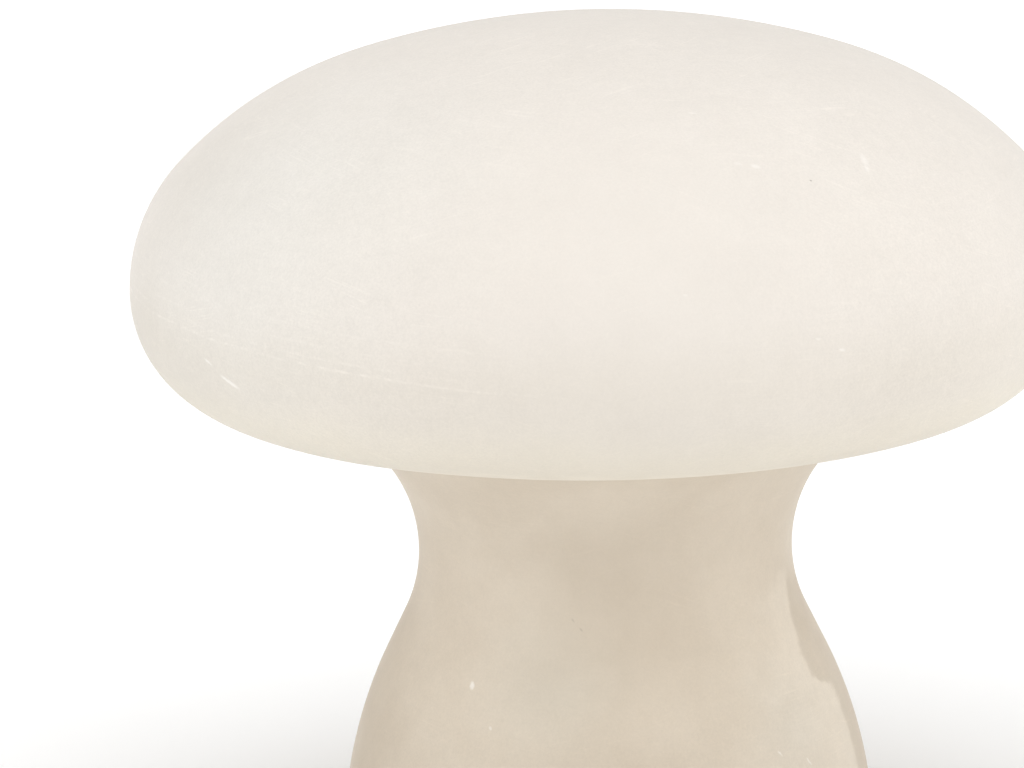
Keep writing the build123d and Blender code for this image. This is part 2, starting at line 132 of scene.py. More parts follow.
# Soft ring, felt and inlet bush. The felt's dents: their depth, their number per metre, and how many
# times deeper they are at the edge.
RING_INSET = 0.6 * MM
RING_INSIDE = MOUTH_RADIUS + MOUTH_EDGE + RING_INSET
RING_EDGE = 0.5 * MM
FELT_EDGE = 0.9 * MM
FELT_DENTS = 0.06 * MM
FELT_DENT_SCALE = 400
FELT_EDGE_DENTS = 3
BUSH_BORE = 3.5 * MM
BUSH_BARREL = 5.0 * MM
BUSH_FLANGE = 8.0 * MM
BUSH_FLANGE_DEPTH = 3.0 * MM
BUSH_EDGE = 1.0 * MM

# The hand's unevenness in the turned stone: depth, length, and where in the noise each stone lies.
WAVER = 0.16 * MM
WAVER_LENGTH = 45.0 * MM
SHADE_WAVER = 3.7
STEM_WAVER = 8.2

# Meshes: segments round the stones, the angle from which an edge is sharp, and what counts as nothing.
STONE_SEGMENTS = 288
CREASE = 35
NEARLY = 0.01 * MM


def heading(degrees):
    """The direction at an angle above the horizontal, as (radius, height)."""
    turn = math.radians(degrees)
    return Vector((math.cos(turn), math.sin(turn)))


def arc(centre, radius, start, end, steps):
    """Points of an arc in the (radius, height) plane, both ends included."""
    turns = [start + (end - start) * i / steps for i in range(steps + 1)]
    return [Vector(centre) + heading(turn) * radius for turn in turns]


def run(start, end, steps):
    """Points of a straight run in the (radius, height) plane, both ends included."""
    return [Vector(start).lerp(Vector(end), i / steps) for i in range(steps + 1)]


def new_object(name, bm, body, material, crease=CREASE):
    """Makes a smooth-shaded piece from a bmesh, on a body and with a material."""
    mesh = bpy.data.meshes.new(name)
    bmesh.ops.recalc_face_normals(bm, faces=bm.faces)
    bm.to_mesh(mesh)
    bm.free()
    piece = bpy.data.objects.new(name, mesh)
    bpy.context.scene.collection.objects.link(piece)
    mesh.materials.append(material)
    mesh.shade_smooth()
    mesh.set_sharp_from_angle(angle=math.radians(crease))
    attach(piece, body)
    return piece


def lathe(profile, segments, closed=False):
    """A bmesh turned about Z from (radius, height) points. A closed profile joins its ends."""
    bm = bmesh.new()
    rows = []
    for radius, height in profile:
        if radius < NEARLY:
            rows.append([bm.verts.new((0, 0, height))])
            continue
        row = []
        for i in range(segments):
            turn = 2 * math.pi * i / segments
            row.append(bm.verts.new((radius * math.cos(turn), radius * math.sin(turn), height)))
        rows.append(row)
    pairs = list(zip(rows, rows[1:]))
    if closed:
        pairs.append((rows[-1], rows[0]))
    for low, high in pairs:
        for i in range(segments):
            j = (i + 1) % segments
            corners = [low[i % len(low)], low[j % len(low)], high[j % len(high)], high[i % len(high)]]
            unique = list(dict.fromkeys(corners))
            if len(unique) > 2:
                bm.faces.new(unique)
    return bm


def waver(bm, shift):
    """Moves a turned stone's surface in and out a little, as a hand-finished one's is."""
    bm.normal_update()
    moves = []
    for vert in bm.verts:
        at = vert.co / WAVER_LENGTH + Vector((shift, shift, shift))
        moves.append(vert.normal * (noise.noise(at) * WAVER))
    for vert, move in zip(bm.verts, moves):
        vert.co += move


def shade_profile():
    """The shade's section from the crown down outside, round the mouth and up inside."""
    brow = Vector((SHADE_RADIUS - BROW_ROUND, EQUATOR))
    haunch = brow - heading(BROW_TURN) * (HAUNCH_ROUND - BROW_ROUND)
    crown_round = HAUNCH_ROUND + haunch.x / heading(HAUNCH_TURN).x
    crown = haunch - heading(HAUNCH_TURN) * (crown_round - HAUNCH_ROUND)
    rim = Vector((SHADE_RADIUS - RIM_ROUND, EQUATOR))
    edge = MOUTH_RADIUS + MOUTH_EDGE
    outside = (
        arc(crown, crown_round, 90, HAUNCH_TURN, steps=24)
        + arc(haunch, HAUNCH_ROUND, HAUNCH_TURN, BROW_TURN, steps=24)[1:]
        + arc(brow, BROW_ROUND, BROW_TURN, 0, steps=24)[1:]
        + arc(rim, RIM_ROUND, 0, -90, steps=36)[1:]
        + run((rim.x, SHADE_LOW), (edge, SHADE_LOW), steps=8)[1:-1]
        + arc((edge, SHADE_LOW + MOUTH_EDGE), MOUTH_EDGE, -90, -180, steps=5)
    )
    inner_floor = SHADE_LOW + SHADE_WALL
    inside = (
        arc((edge, inner_floor - MOUTH_EDGE), MOUTH_EDGE, 180, 90, steps=5)
        + run((edge, inner_floor), (rim.x, inner_floor), steps=8)[1:-1]
        + arc(rim, RIM_ROUND - SHADE_WALL, -90, 0, steps=24)
        + arc(brow, BROW_ROUND - SHADE_WALL, 0, BROW_TURN, steps=18)[1:]
        + arc(haunch, HAUNCH_ROUND - SHADE_WALL, BROW_TURN, HAUNCH_TURN, steps=18)[1:]
        + arc(crown, crown_round - SHADE_WALL, HAUNCH_TURN, 90, steps=18)[1:]
    )
    return [(max(p.x, 0.0), p.y) for p in outside + inside]


def stem_profile():
    """The stem's section: recess, foot, belly, waist, trumpet, spigot, bowl and bore."""
    lean = heading(FLANK_LEAN)
    waist = Vector((NECK_RADIUS + WAIST_ROUND, NECK_HEIGHT))
    flank_top = waist - lean * WAIST_ROUND
    flank_low = flank_top + Vector((lean.y, -lean.x)) * FLANK_LENGTH
    belly = flank_low - lean * BELLY_ROUND
    edge_drop = belly.y - FOOT_LOW - FOOT_EDGE
    edge_out = math.sqrt((BELLY_ROUND - FOOT_EDGE) ** 2 - edge_drop**2)
    edge = Vector((belly.x + edge_out, FOOT_LOW + FOOT_EDGE))
    foot_turn = math.degrees(math.atan2(-edge_drop, edge_out))
    flare = Vector((NECK_RADIUS + FLARE_ROUND, NECK_HEIGHT))
    bead = flare + heading(180 - FLARE_SWEEP) * FLARE_ROUND
    shoulder = bead.y + BEAD
    bowl_round = FLARE_ROUND + FLARE_WALL
    bowl_turn = math.degrees(math.acos((flare.x - SPIGOT_BORE) / bowl_round))
    bowl_foot = NECK_RADIUS - FLARE_WALL
    bowl_low = NECK_HEIGHT - BOWL_DEPTH
    outside = (
        run((BORE_RADIUS, RECESS_TOP), (RECESS_RADIUS, RECESS_TOP), steps=6)
        + run((RECESS_RADIUS, RECESS_TOP), (RECESS_RADIUS, FOOT_LOW), steps=8)[1:]
        + run((RECESS_RADIUS, FOOT_LOW), (edge.x, FOOT_LOW), steps=8)[1:-1]
        + arc(edge, FOOT_EDGE, -90, foot_turn, steps=12)
        + arc(belly, BELLY_ROUND, foot_turn, FLANK_LEAN, steps=36)[1:]
        + run(flank_low, flank_top, steps=6)[1:]
        + arc(waist, WAIST_ROUND, 180 + FLANK_LEAN, 180, steps=16)[1:]
        + arc(flare, FLARE_ROUND, 180, 180 - FLARE_SWEEP, steps=28)[1:]
        + arc((bead.x, bead.y + BEAD / 2), BEAD / 2, -90, 90, steps=10)
    )
    inside = (
        run((bead.x, shoulder), (SPIGOT_RADIUS, shoulder), steps=4)[1:]
        + arc((SPIGOT_RADIUS - SPIGOT_EDGE, SPIGOT_TOP - SPIGOT_EDGE), SPIGOT_EDGE, 0, 90, steps=5)
        + run((SPIGOT_RADIUS - SPIGOT_EDGE, SPIGOT_TOP), (SPIGOT_BORE, SPIGOT_TOP), steps=3)[1:]
        + arc(flare, bowl_round, 180 - bowl_turn, 180, steps=28)
        + arc((bowl_foot - BOWL_CORNER, bowl_low + BOWL_CORNER), BOWL_CORNER, 0, -90, steps=5)
        + run((bowl_foot - BOWL_CORNER, bowl_low), (BORE_RADIUS, bowl_low), steps=8)[1:]
        + run((BORE_RADIUS, bowl_low), (BORE_RADIUS, RECESS_TOP), steps=8)[1:-1]
    )
    return [(p.x, p.y) for p in outside + inside]


def make_shade(material):
    """The stone cap, hollow, with its round mouth."""
    bm = lathe(shade_profile(), STONE_SEGMENTS)
    waver(bm, SHADE_WAVER)
    return new_object("shade_stone", bm, "shade_cap", material)


def make_stem(material):
    """The stone stem, with the inlet's hole and flat seat cut in its rear."""
    bm = lathe(stem_profile(), STONE_SEGMENTS, closed=True)
    waver(bm, STEM_WAVER)
    stem = new_object("stem_stone", bm, "base", material)
    reach = Vector((0, SHADE_RADIUS, INLET_HEIGHT))
    seat_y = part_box("cord_bush")[1].y - INLET_SEAT_DEPTH
    for radius, start in ((INLET_HOLE, 0.0), (INLET_SEAT, seat_y)):
        cut_round(stem, radius, Vector((0, start, INLET_HEIGHT)), reach)
    stem.data.set_sharp_from_angle(angle=math.radians(CREASE))
    return stem


def cut_round(piece, radius, start, end):
    """Cuts a round hole between two points."""
    bm = bmesh.new()
    length = (end - start).length
    spin = (end - start).to_track_quat("Z", "Y").to_matrix().to_4x4()
    place = Matrix.Translation((start + end) / 2) @ spin
    bmesh.ops.create_cone(
        bm, cap_ends=True, segments=96, radius1=radius, radius2=radius, depth=length, matrix=place
    )
    mesh = bpy.data.meshes.new("cutter")
    bm.to_mesh(mesh)
    bm.free()
    cutter = bpy.data.objects.new("cutter", mesh)
    bpy.context.scene.collection.objects.link(cutter)
    cut = piece.modifiers.new("cut", "BOOLEAN")
    cut.operation = "DIFFERENCE"
    cut.object = cutter
    whole = piece.evaluated_get(bpy.context.evaluated_depsgraph_get())
    old = piece.data
    piece.data = bpy.data.meshes.new_from_object(whole)
    piece.modifiers.clear()
    bpy.data.objects.remove(cutter)
    bpy.data.meshes.remove(mesh)
    bpy.data.meshes.remove(old)


def round_ring(inner, outer, low, high, edge):
    """A closed ring section with rounded edges."""
    corners = ((outer, high, 90, 0), (outer, low, 0, -90), (inner, low, -90, -180), (inner, high, 180, 90))
    points = []
    for radius, height, start, end in corners:
        across = radius - edge if radius == outer else radius + edge
        up = height - edge if height == high else height + edge
        points += arc((across, up), edge, start, end, steps=4)
    return points


def make_seat_ring(material):
    """The soft ring that the shade rests on."""
    low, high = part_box("seat_ring")
    section = round_ring(RING_INSIDE, high.x, low.z, high.z, RING_EDGE)
    bm = lathe(section, segments=192, closed=True)
    return new_object("seat_ring_soft", bm, "base", material)


def make_felt(material):
    """The felt disc under the foot, with a soft edge and an uneven face."""
    low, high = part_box("felt_pad")
    flat = high.x - FELT_EDGE
    middle = (low.z + high.z) / 2
    section = (
        run((0, high.z), (flat, high.z), steps=24)[:-1]
        + arc((flat, high.z - FELT_EDGE), FELT_EDGE, 90, 0, steps=4)
        + arc((flat, low.z + FELT_EDGE), FELT_EDGE, 0, -90, steps=4)
        + run((flat, low.z), (0, low.z), steps=24)[1:]
    )
    bm = lathe(section, segments=240)
    for vert in bm.verts:
        out = Vector((vert.co.x, vert.co.y, 0))
        push = noise.noise(vert.co * FELT_DENT_SCALE) * FELT_DENTS
        if out.length > flat:
            vert.co += out.normalized() * push * FELT_EDGE_DENTS
        elif vert.co.z < middle:
            vert.co.z += abs(push)
    return new_object("felt_disc", bm, "base", material, crease=60)


def make_bush(material):
    """The inlet's bush: a barrel through the stem and a rounded flange on its seat."""
    low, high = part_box("cord_bush")
    seat = high.y - BUSH_FLANGE_DEPTH
    section = (
        arc((BUSH_BORE + BUSH_EDGE, high.y - BUSH_EDGE), BUSH_EDGE, 180, 90, steps=5)
        + arc((BUSH_FLANGE - BUSH_EDGE, high.y - BUSH_EDGE), BUSH_EDGE, 90, 0, steps=5)
        + [(BUSH_FLANGE, seat), (BUSH_BARREL, seat), (BUSH_BARREL, low.y), (BUSH_BORE, low.y)]
    )
    bm = lathe(section, segments=72, closed=True)
    lie = Matrix.Translation((0, 0, INLET_HEIGHT)) @ Matrix.Rotation(math.radians(-90), 4, "X")
    bm.transform(lie)
    return new_object("inlet_bush", bm, "base", material, crease=50)


def make_globe(material):
    """The bulb's blown glass: neck, curve and globe, with its wall."""
    curve = GLASS_NECK + GLOBE_ROUND
    middle = GLASS_TOP - GLOBE_RADIUS
    drop = math.sqrt((GLOBE_RADIUS + GLOBE_ROUND) ** 2 - curve**2)
    turn = math.degrees(math.atan2(drop, curve))
    skins = []
    for inset in (0.0, GLASS_WALL):
        neck = GLASS_NECK - inset
        skins.append(
            run((neck, GLASS_LOW), (neck, middle - drop), steps=4)[:-1]
            + arc((curve, middle - drop), GLOBE_ROUND + inset, 180, 180 - turn, steps=16)
            + arc((0, middle), GLOBE_RADIUS - inset, -turn, 90, steps=48)[1:]
        )
    section = [(max(p.x, 0.0), p.y) for p in skins[0] + skins[1][::-1]]
    bm = lathe(section, segments=128, closed=True)
    return new_object("bulb_globe", bm, "bulb", material)


def make_screw_cap(material):
    """The bulb's thin metal cap: a rolled right-hand thread under a plain collar."""
    collar_low = COLLAR_TOP - COLLAR
    collar_bore = GLASS_NECK + GLASS_GAP
    wall_low = CAP_LOW + CAP_EDGE
    section = (
        [(CAP_LIP, CAP_LOW), (CAP_ROOT - CAP_EDGE, CAP_LOW)]
        + run((CAP_ROOT, wall_low), (CAP_ROOT, collar_low - COLLAR_FOOT), steps=64)
        + arc((COLLAR_RADIUS - COLLAR_FOOT, collar_low + COLLAR_FOOT), COLLAR_FOOT, -90, 0, steps=3)
        + arc((COLLAR_RADIUS - COLLAR_EDGE, COLLAR_TOP - COLLAR_EDGE), COLLAR_EDGE, 0, 90, steps=3)
        + [(collar_bore, COLLAR_TOP), (collar_bore, GLASS_LOW), (CAP_INSIDE, GLASS_LOW)]
        + [(CAP_INSIDE, wall_low), (CAP_LIP, wall_low)]
    )
    bm = lathe(section, segments=144, closed=True)
    roll_thread(bm, CAP_LOW + THREAD_START, collar_low)
    return new_object("bulb_screw_cap", bm, "bulb", material, crease=60)


def roll_thread(bm, low, high):
    """Pushes a plain wall out into a round right-hand thread that runs out at both ends."""
    for vert in bm.verts:
        radius = vert.co.xy.length
        if not low < vert.co.z < high or abs(radius - CAP_ROOT) > NEARLY:
            continue
        turn = math.atan2(vert.co.y, vert.co.x) / (2 * math.pi)
        wave = 0.5 + 0.5 * math.cos(2 * math.pi * ((vert.co.z - low) / THREAD_PITCH - turn))
        ends = min((vert.co.z - low) / THREAD_ENDS, (high - vert.co.z) / THREAD_ENDS, 1.0)
        wider = radius + (CAP_CREST - CAP_ROOT) * wave * ends
        vert.co.xy *= wider / radius


def make_camera():
    """Camera at the photograph's angle, aimed so that the lamp falls where it does there."""
    tilt = math.radians(CAMERA_ELEVATION)
    middle = Vector((0, 0, EQUATOR))
    back = Vector((0, -math.cos(tilt), math.sin(tilt)))
    up = Vector((0, math.sin(tilt), math.cos(tilt)))
    eye = middle + back * CAMERA_DISTANCE
    aim = middle - Vector((AXIS_RIGHT, 0, 0)) - up * EQUATOR_UP
    data = bpy.data.cameras.new("camera")
    data.sensor_width = SENSOR
    data.lens = FOCAL_PX / PHOTO_WIDTH * SENSOR
    data.clip_start = NEAREST_SEEN
    data.clip_end = FARTHEST_SEEN
    camera = bpy.data.objects.new("camera", data)
    turn = (aim - eye).to_track_quat("-Z", "Y").to_matrix().to_4x4()
    roll = Matrix.Rotation(math.radians(CAMERA_ROLL), 4, "Z")
    camera.matrix_world = Matrix.Translation(eye) @ turn @ roll
    bpy.context.scene.collection.objects.link(camera)
    bpy.context.scene.camera = camera


class Shading:
    """One material's node tree. A value is a number, a colour or another node's output."""

    def __init__(self, name):
        self.material = bpy.data.materials.new(name)
        self.material.use_nodes = True
        self.tree = self.material.node_tree
        self.shader = self.tree.nodes["Principled BSDF"]
        self.place = self.tree.nodes.new("ShaderNodeTexCoord").outputs["Object"]

    def feed(self, socket, value):
        """Links or sets one input."""
        if isinstance(value, bpy.types.NodeSocket):
            self.tree.links.new(value, socket)
        else:
            socket.default_value = value

    def node(self, kind, values, **settings):
        """A new node with its settings and inputs."""
        made = self.tree.nodes.new(kind)
        for key, value in settings.items():
            setattr(made, key, value)
        for index, value in values.items():
            self.feed(made.inputs[index], value)
        return made

    def math(self, operation, *values):
        return self.node("ShaderNodeMath", dict(enumerate(values)), operation=operation).outputs[0]

    def add(self, *values):
        """The sum of two or more values."""
        return reduce(lambda total, value: self.math("ADD", total, value), values)

    def times(self, *values):
        """The product of two or more values."""
        return reduce(lambda product, value: self.math("MULTIPLY", product, value), values)

    def swing(self, value, depth=1.0):
        """A noise's rise and fall about its middle, times a depth."""
        return self.times(self.math("SUBTRACT", value, 0.5), depth)

    def vector(self, operation, *values):
        made = self.node("ShaderNodeVectorMath", dict(enumerate(values)), operation=operation)
        flat = operation in ("DOT_PRODUCT", "LENGTH", "DISTANCE")
        return made.outputs["Value" if flat else "Vector"]

    def scaled(self, vector, factor):
        made = self.node("ShaderNodeVectorMath", {0: vector, 3: factor}, operation="SCALE")
        return made.outputs["Vector"]

    def upward(self, value):
        """A vector that points up, as long as a value."""
        return self.node("ShaderNodeCombineXYZ", {2: value}).outputs[0]

    def noise(self, vector, scale, detail=2.0, rough=0.5, colour=False):
        values = {"Vector": vector, "Scale": scale, "Detail": detail, "Roughness": rough}
        return self.node("ShaderNodeTexNoise", values).outputs["Color" if colour else "Fac"]

    def steps(self, value, low, high, to_low=0.0, to_high=1.0):
        """A value's smooth rise from one end of a range to the other."""
        values = {0: value, 1: low, 2: high, 3: to_low, 4: to_high}
        return self.node("ShaderNodeMapRange", values, interpolation_type="SMOOTHSTEP").outputs[0]

    def mix(self, share, first, second, blend="MIX"):
        values = {0: share, 6: first, 7: second}
        return self.node("ShaderNodeMix", values, data_type="RGBA", blend_type=blend).outputs[2]

    def warped(self, scale, depth):
        """The object's coordinates, pushed about by noise."""
        push = self.vector("SUBTRACT", self.noise(self.place, scale, colour=True), (0.5, 0.5, 0.5))
        return self.vector("ADD", self.place, self.scaled(push, depth))

    def bump(self, height, depth, under=None):
        """The normal that a height gives, over another normal if there is one."""
        values = {"Strength": 1.0, "Distance": depth, "Height": height}
        if under is not None:
            values["Normal"] = under
        return self.node("ShaderNodeBump", values).outputs[0]

    def set(self, **sockets):
        """Feeds the shader's own inputs."""
        for name, value in sockets.items():
            self.feed(self.shader.inputs[name.replace("_", " ")], value)


def grey(value):
    return (value, value, value, 1.0)


# Colours, linear: the darker and the lighter end of each material.
SHADE_TONES = ((0.643, 0.600, 0.544, 1.0), (0.779, 0.733, 0.679, 1.0))
STEM_TONES = ((0.539, 0.463, 0.368, 1.0), (0.726, 0.653, 0.551, 1.0))
CHIP_TONE = (0.95, 0.93, 0.90, 1.0)
PIT_TONE = (0.20, 0.17, 0.14, 1.0)
STEEL_TONES = ((0.40, 0.40, 0.41, 1.0), (0.62, 0.62, 0.63, 1.0))
ZINC_TONES = ((0.48, 0.47, 0.44, 1.0), (0.70, 0.69, 0.65, 1.0))
BRASS_TONES = ((0.50, 0.34, 0.12, 1.0), (0.80, 0.60, 0.28, 1.0))
SOLDER_TONES = ((0.36, 0.36, 0.38, 1.0), (0.60, 0.60, 0.62, 1.0))
ROLLED_TONES = ((0.56, 0.56, 0.56, 1.0), (0.76, 0.76, 0.75, 1.0))
BLACK_GLASS_TONES = ((0.006, 0.006, 0.007, 1.0), (0.014, 0.013, 0.014, 1.0))
CLEAR_GLASS_TONES = ((0.86, 0.93, 0.92, 1.0), (0.94, 0.97, 0.96, 1.0))
OPAL_TONES = ((0.88, 0.87, 0.84, 1.0), (0.93, 0.92, 0.89, 1.0))
NYLON_TONES = ((0.66, 0.61, 0.50, 1.0), (0.76, 0.71, 0.60, 1.0))
SILICONE_TONES = ((0.66, 0.62, 0.55, 1.0), (0.76, 0.72, 0.65, 1.0))
BLOCK_TONES = ((0.72, 0.72, 0.69, 1.0), (0.80, 0.80, 0.77, 1.0))
BROWN_TONES = ((0.070, 0.022, 0.008, 1.0), (0.105, 0.036, 0.014, 1.0))
BLUE_TONES = ((0.008, 0.036, 0.19, 1.0), (0.014, 0.060, 0.27, 1.0))
PHOSPHOR_TONES = ((0.70, 0.42, 0.04, 1.0), (0.86, 0.58, 0.09, 1.0))
GLAZE_TONES = ((0.80, 0.77, 0.71, 1.0), (0.87, 0.85, 0.80, 1.0))
GLAZE_SPECK = (0.22, 0.18, 0.14, 1.0)
FELT_TONES = ((0.016, 0.013, 0.011, 1.0), (0.060, 0.050, 0.042, 1.0))

# The grain's strength: the smoothest place, how far from it the grain is strongest, and both strengths.
SHADE_WEAR = ((0.01, -0.128, 0.215), 0.10, 0.060, 0.245)
STEM_WEAR = ((0.0, -0.060, 0.110), 0.08, 0.095, 0.215)

# How strong the stones' large cloudy patches are, and each stone's smaller ones.
CLOUDING = 0.30
SHADE_DRIFT = 0.22
STEM_DRIFT = 0.42

# What the grain is made of besides its finest part, and how much of each.
MOTTLE_SHARE = 0.35
TURNED_SHARE = 0.15
SCRATCH_SHARE = 0.22

# The stone's surface: roughness, how the grain changes it, and how deep grain and chips are.
STONE_ROUGH = 0.58
GRAIN_ROUGH = 0.2
GRAIN_DEPTH = 0.02 * MM
CHIP_DEPTH = 0.2 * MM
STONE_SKIN = {
    "IOR": 1.52,
    "Specular_IOR_Level": 0.35,
    "Subsurface_Weight": 0.3,
    "Subsurface_Radius": (1.0, 1.0, 1.0),
    "Subsurface_Scale": 7.0 * MM,
}

# Where a stone's colour changes with height: from and to these heights, and what it becomes. On the cap this
# is painted shade, darker and warmer low down, and painted light, lighter again along the rim's bottom edge.
# The stem gets darker towards its foot.
SHADE_PAINTED_SHADING = (
    (0.216, 0.188, (0.955, 0.950, 0.930, 1.0)),
    (0.186, 0.166, (1.045, 1.043, 1.004, 1.0)),
    (0.1625, 0.1600, (1.06, 1.06, 1.06, 1.0)),
)
STEM_GRADES = ((0.085, 0.035, (0.955, 0.950, 0.940, 1.0)),)

# Soft round spots: middle and reach in mm, and how much lighter or darker. On the cap they are painted shade,
# darker on its left and low on its right front, and a little painted light on its right front. On the stem
# the lighter ones are cloudy patches in the stone, and the dark ones, most of them along its left side, are
# painted shade.
SHADE_PAINTED_LIGHT_SPOTS = (
    ((-95, -95, 225), 70, -0.05),
    ((80, -100, 235), 70, 0.05),
    ((-140, -40, 180), 55, -0.45),
    ((-122, -46, 242), 55, -0.28),
    ((-124, -83, 181), 30, -0.20),
    ((95, -120, 195), 55, -0.16),
)
STEM_CLOUDS_AND_SHADE = (
    ((0, -73, 142), 24, 0.20),
    ((8, -62, 108), 40, -0.11),
    ((-27, -55, 101), 22, 0.22),
    ((-41, -57, 80), 27, 0.19),
    ((-30, -68, 58), 24, 0.08),
    ((-55, -28, 112), 22, -0.14),
    ((-62, -8, 98), 34, -0.20),
    ((-76, -12, 66), 44, -0.38),
    ((54, -28, 114), 30, -0.14),
    ((-78, -36, 34), 38, -0.36),
    ((12, -79, 48), 36, -0.24),
)

# Soft tints: middle and reach in mm, and what the colour is multiplied by.
SHADE_TINTS = (((-104, -86, 236), 105, (0.987, 1.010, 1.024, 1.0)),)
STEM_TINTS = (
    ((-18, -66, 80), 36, (0.99, 1.015, 1.035, 1.0)),
    ((58, -50, 60), 30, (1.005, 1.03, 1.055, 1.0)),
)

# The stem's darker band, painted shade: its edge's turn from the front in radians, how that changes with
# height, how soft the edge is, where the band fades out towards the rear and the top, and how dark it is.
BAND_TURN = 1.29
BAND_TURNS = ((0.064, 0.074, -0.17), (0.078, 0.103, 0.125), (0.034, 0.006, 0.32))
BAND_EDGE = (-0.045, 0.055)
BAND_REAR = (0.95, 0.15)
BAND_TOP = (0.108, 0.096)
BAND_DEPTH = -0.28

# The painted highlight in front of the band: where it rises and ends, and how light it is.
BAND_GLOW_RISE = (-0.50, -0.08)
BAND_GLOW_END = (0.02, -0.03)
BAND_GLOW = 0.36

# Chips, scratches and pits: two ends and the width in mm, and the strength.
SHADE_CHIPS = (
    ((-115.8, -97.3, 187.4), (-110.4, -102.0, 184.8), 1.5, 0.42),
    ((-121.3, -91.6, 191.7), (-119.0, -94.3, 190.4), 1.0, 0.35),
    ((79.0, -89.0, 251.0), (80.0, -92.0, 249.0), 2.4, 0.19),
    ((80.0, -93.0, 248.6), (80.3, -94.0, 247.9), 1.8, 0.22),
    ((40.0, -109.5, 252.9), (42.0, -109.5, 252.8), 1.2, 0.16),
    ((45.4, -108.9, 251.9), (46.8, -108.9, 251.5), 1.8, 0.24),
    ((27.0, -90.0, 265.2), (29.2, -90.0, 265.0), 0.8, 0.2),
    ((62.6, -138.0, 205.3), (63.6, -138.0, 205.2), 1.0, 0.2),
    ((69.6, -135.2, 201.3), (71.0, -134.6, 201.2), 1.0, 0.25),
    ((24.0, -145.3, 220.3), (24.6, -145.3, 220.3), 0.8, 0.15),
)
SHADE_PITS = (((62.5, -107.6, 247.0), (62.7, -107.6, 247.0), 0.7, 0.6),)
STEM_CHIPS = (
    ((-43.0, -56.3, 77.8), (-42.6, -56.4, 76.0), 1.9, 0.5),
    ((-37.1, -66.3, 65.9), (-36.8, -66.4, 65.4), 1.0, 0.3),
    ((53.8, -59.8, 56.0), (55.8, -57.6, 51.8), 0.8, 0.32),
    ((63.2, -51.9, 51.2), (65.2, -49.8, 46.8), 0.8, 0.32),
)
STEM_PITS = (
    ((-11.2, -61.0, 100.2), (-10.0, -61.2, 98.6), 0.6, 0.2),
    ((-8.4, -62.0, 96.8), (-7.6, -62.0, 96.0), 0.7, 0.22),
)

# How far out a spot fades in, as a share of its half size.
SPOT_FADE = (1.3, 0.4)

# Turning marks lie on cones: how much the way outwards counts beside the height, and how broken they are.
TURNING_SLOPE = 0.7
TURNING_BREAKS = 7.0

# Sanding marks lie in planes: z plus x and y times the lean is the same along one. Their noise along and
# across them per metre, and the levels of it between which they show.
SCRATCH_LEANS = ((0.0705, 0.0), (-0.30, 0.10), (0.42, 0.12))
SCRATCH_ALONG = 60.0
SCRATCH_ACROSS = 1500.0
SCRATCH_LEVELS = (0.58, 0.74)

# The long scratches round the shade's left: their plane's lean, each one's height in mm and strength,
# how wide and strong they all are, and the way across on which they begin and end.
LONG_LEAN = (0.0705, 0.0, 1.0)
LONG_SCRATCHES = ((190.4, 1.0), (193.0, 0.5), (196.6, 0.35), (201.5, 0.3))
LONG_WIDTH = (0.6 * MM, 0.1 * MM)
LONG_STRENGTH = 0.42
LONG_WAY = (1.0, 0.35, 0.0)
LONG_START = (-0.05, -0.12)
LONG_END = (-0.178, -0.168)

# Felt fibres: the ways across them, and their noise along and across them per metre.
FIBRE_LEANS = ((1.0, 0.25, 0.1), (0.2, 1.0, 0.1), (0.8, -0.7, 0.1))
FIBRE_ALONG = 350.0
FIBRE_ACROSS = 2600.0


def clouds_and_shade_sum(kit, place, clouds_and_shade):
    """The sum of soft round spots: cloudy patches in the stone, painted shade and painted light."""
    total = 0.0
    for middle, reach, depth in clouds_and_shade:
        away = kit.vector("DISTANCE", place, tuple(v * MM for v in middle))
        total = kit.add(total, kit.steps(away, 0.0, reach * MM, depth, 0.0))
    return total


def spot_mask(kit, place, spots):
    """Where long thin spots lie, each between two ends in mm."""
    total = 0.0
    for start, end, width, strength in spots:
        first = Vector(start) * MM
        last = Vector(end) * MM
        along = last - first
        half = width * MM / 2
        values = {
            "Vector": place,
            "Location": (first + last) / 2,
            "Rotation": tuple(along.to_track_quat("X", "Z").to_euler()),
            "Scale": (along.length / 2 + half, half, half),
        }
        local = kit.node("ShaderNodeMapping", values, vector_type="TEXTURE").outputs[0]
        spot = kit.steps(kit.vector("LENGTH", local), *SPOT_FADE, 0.0, strength)
        total = kit.math("MAXIMUM", total, spot)
    return total


def turning_marks(kit, fineness):
    """Noise drawn out along circles about the lamp's axis, as sanding on a lathe leaves it."""
    flat = kit.vector("MULTIPLY", kit.place, (1.0, 1.0, 0.0))
    height = kit.vector("DOT_PRODUCT", kit.place, (0.0, 0.0, 1.0))
    cone = kit.add(height, kit.times(kit.vector("LENGTH", flat), TURNING_SLOPE))
    along = kit.scaled(kit.vector("NORMALIZE", flat), TURNING_BREAKS)
    lines = kit.vector("ADD", along, kit.upward(kit.times(cone, fineness)))
    return kit.noise(lines, scale=1.0, detail=3.0, rough=0.65)


def sanding_marks(kit, lean):
    """Short thin pale lines that lie in tilted planes, in patches."""
    level = kit.vector("DOT_PRODUCT", kit.place, (*lean, 1.0))
    along = kit.scaled(kit.place, SCRATCH_ALONG)
    lines = kit.vector("ADD", along, kit.upward(kit.times(level, SCRATCH_ACROSS)))
    elsewhere = kit.vector("ADD", kit.place, (*lean, lean[0]))
    patch = kit.steps(kit.noise(elsewhere, scale=26.0, detail=3.0), low=0.48, high=0.68)
    return kit.times(kit.steps(kit.noise(lines, scale=1.0), *SCRATCH_LEVELS), patch)


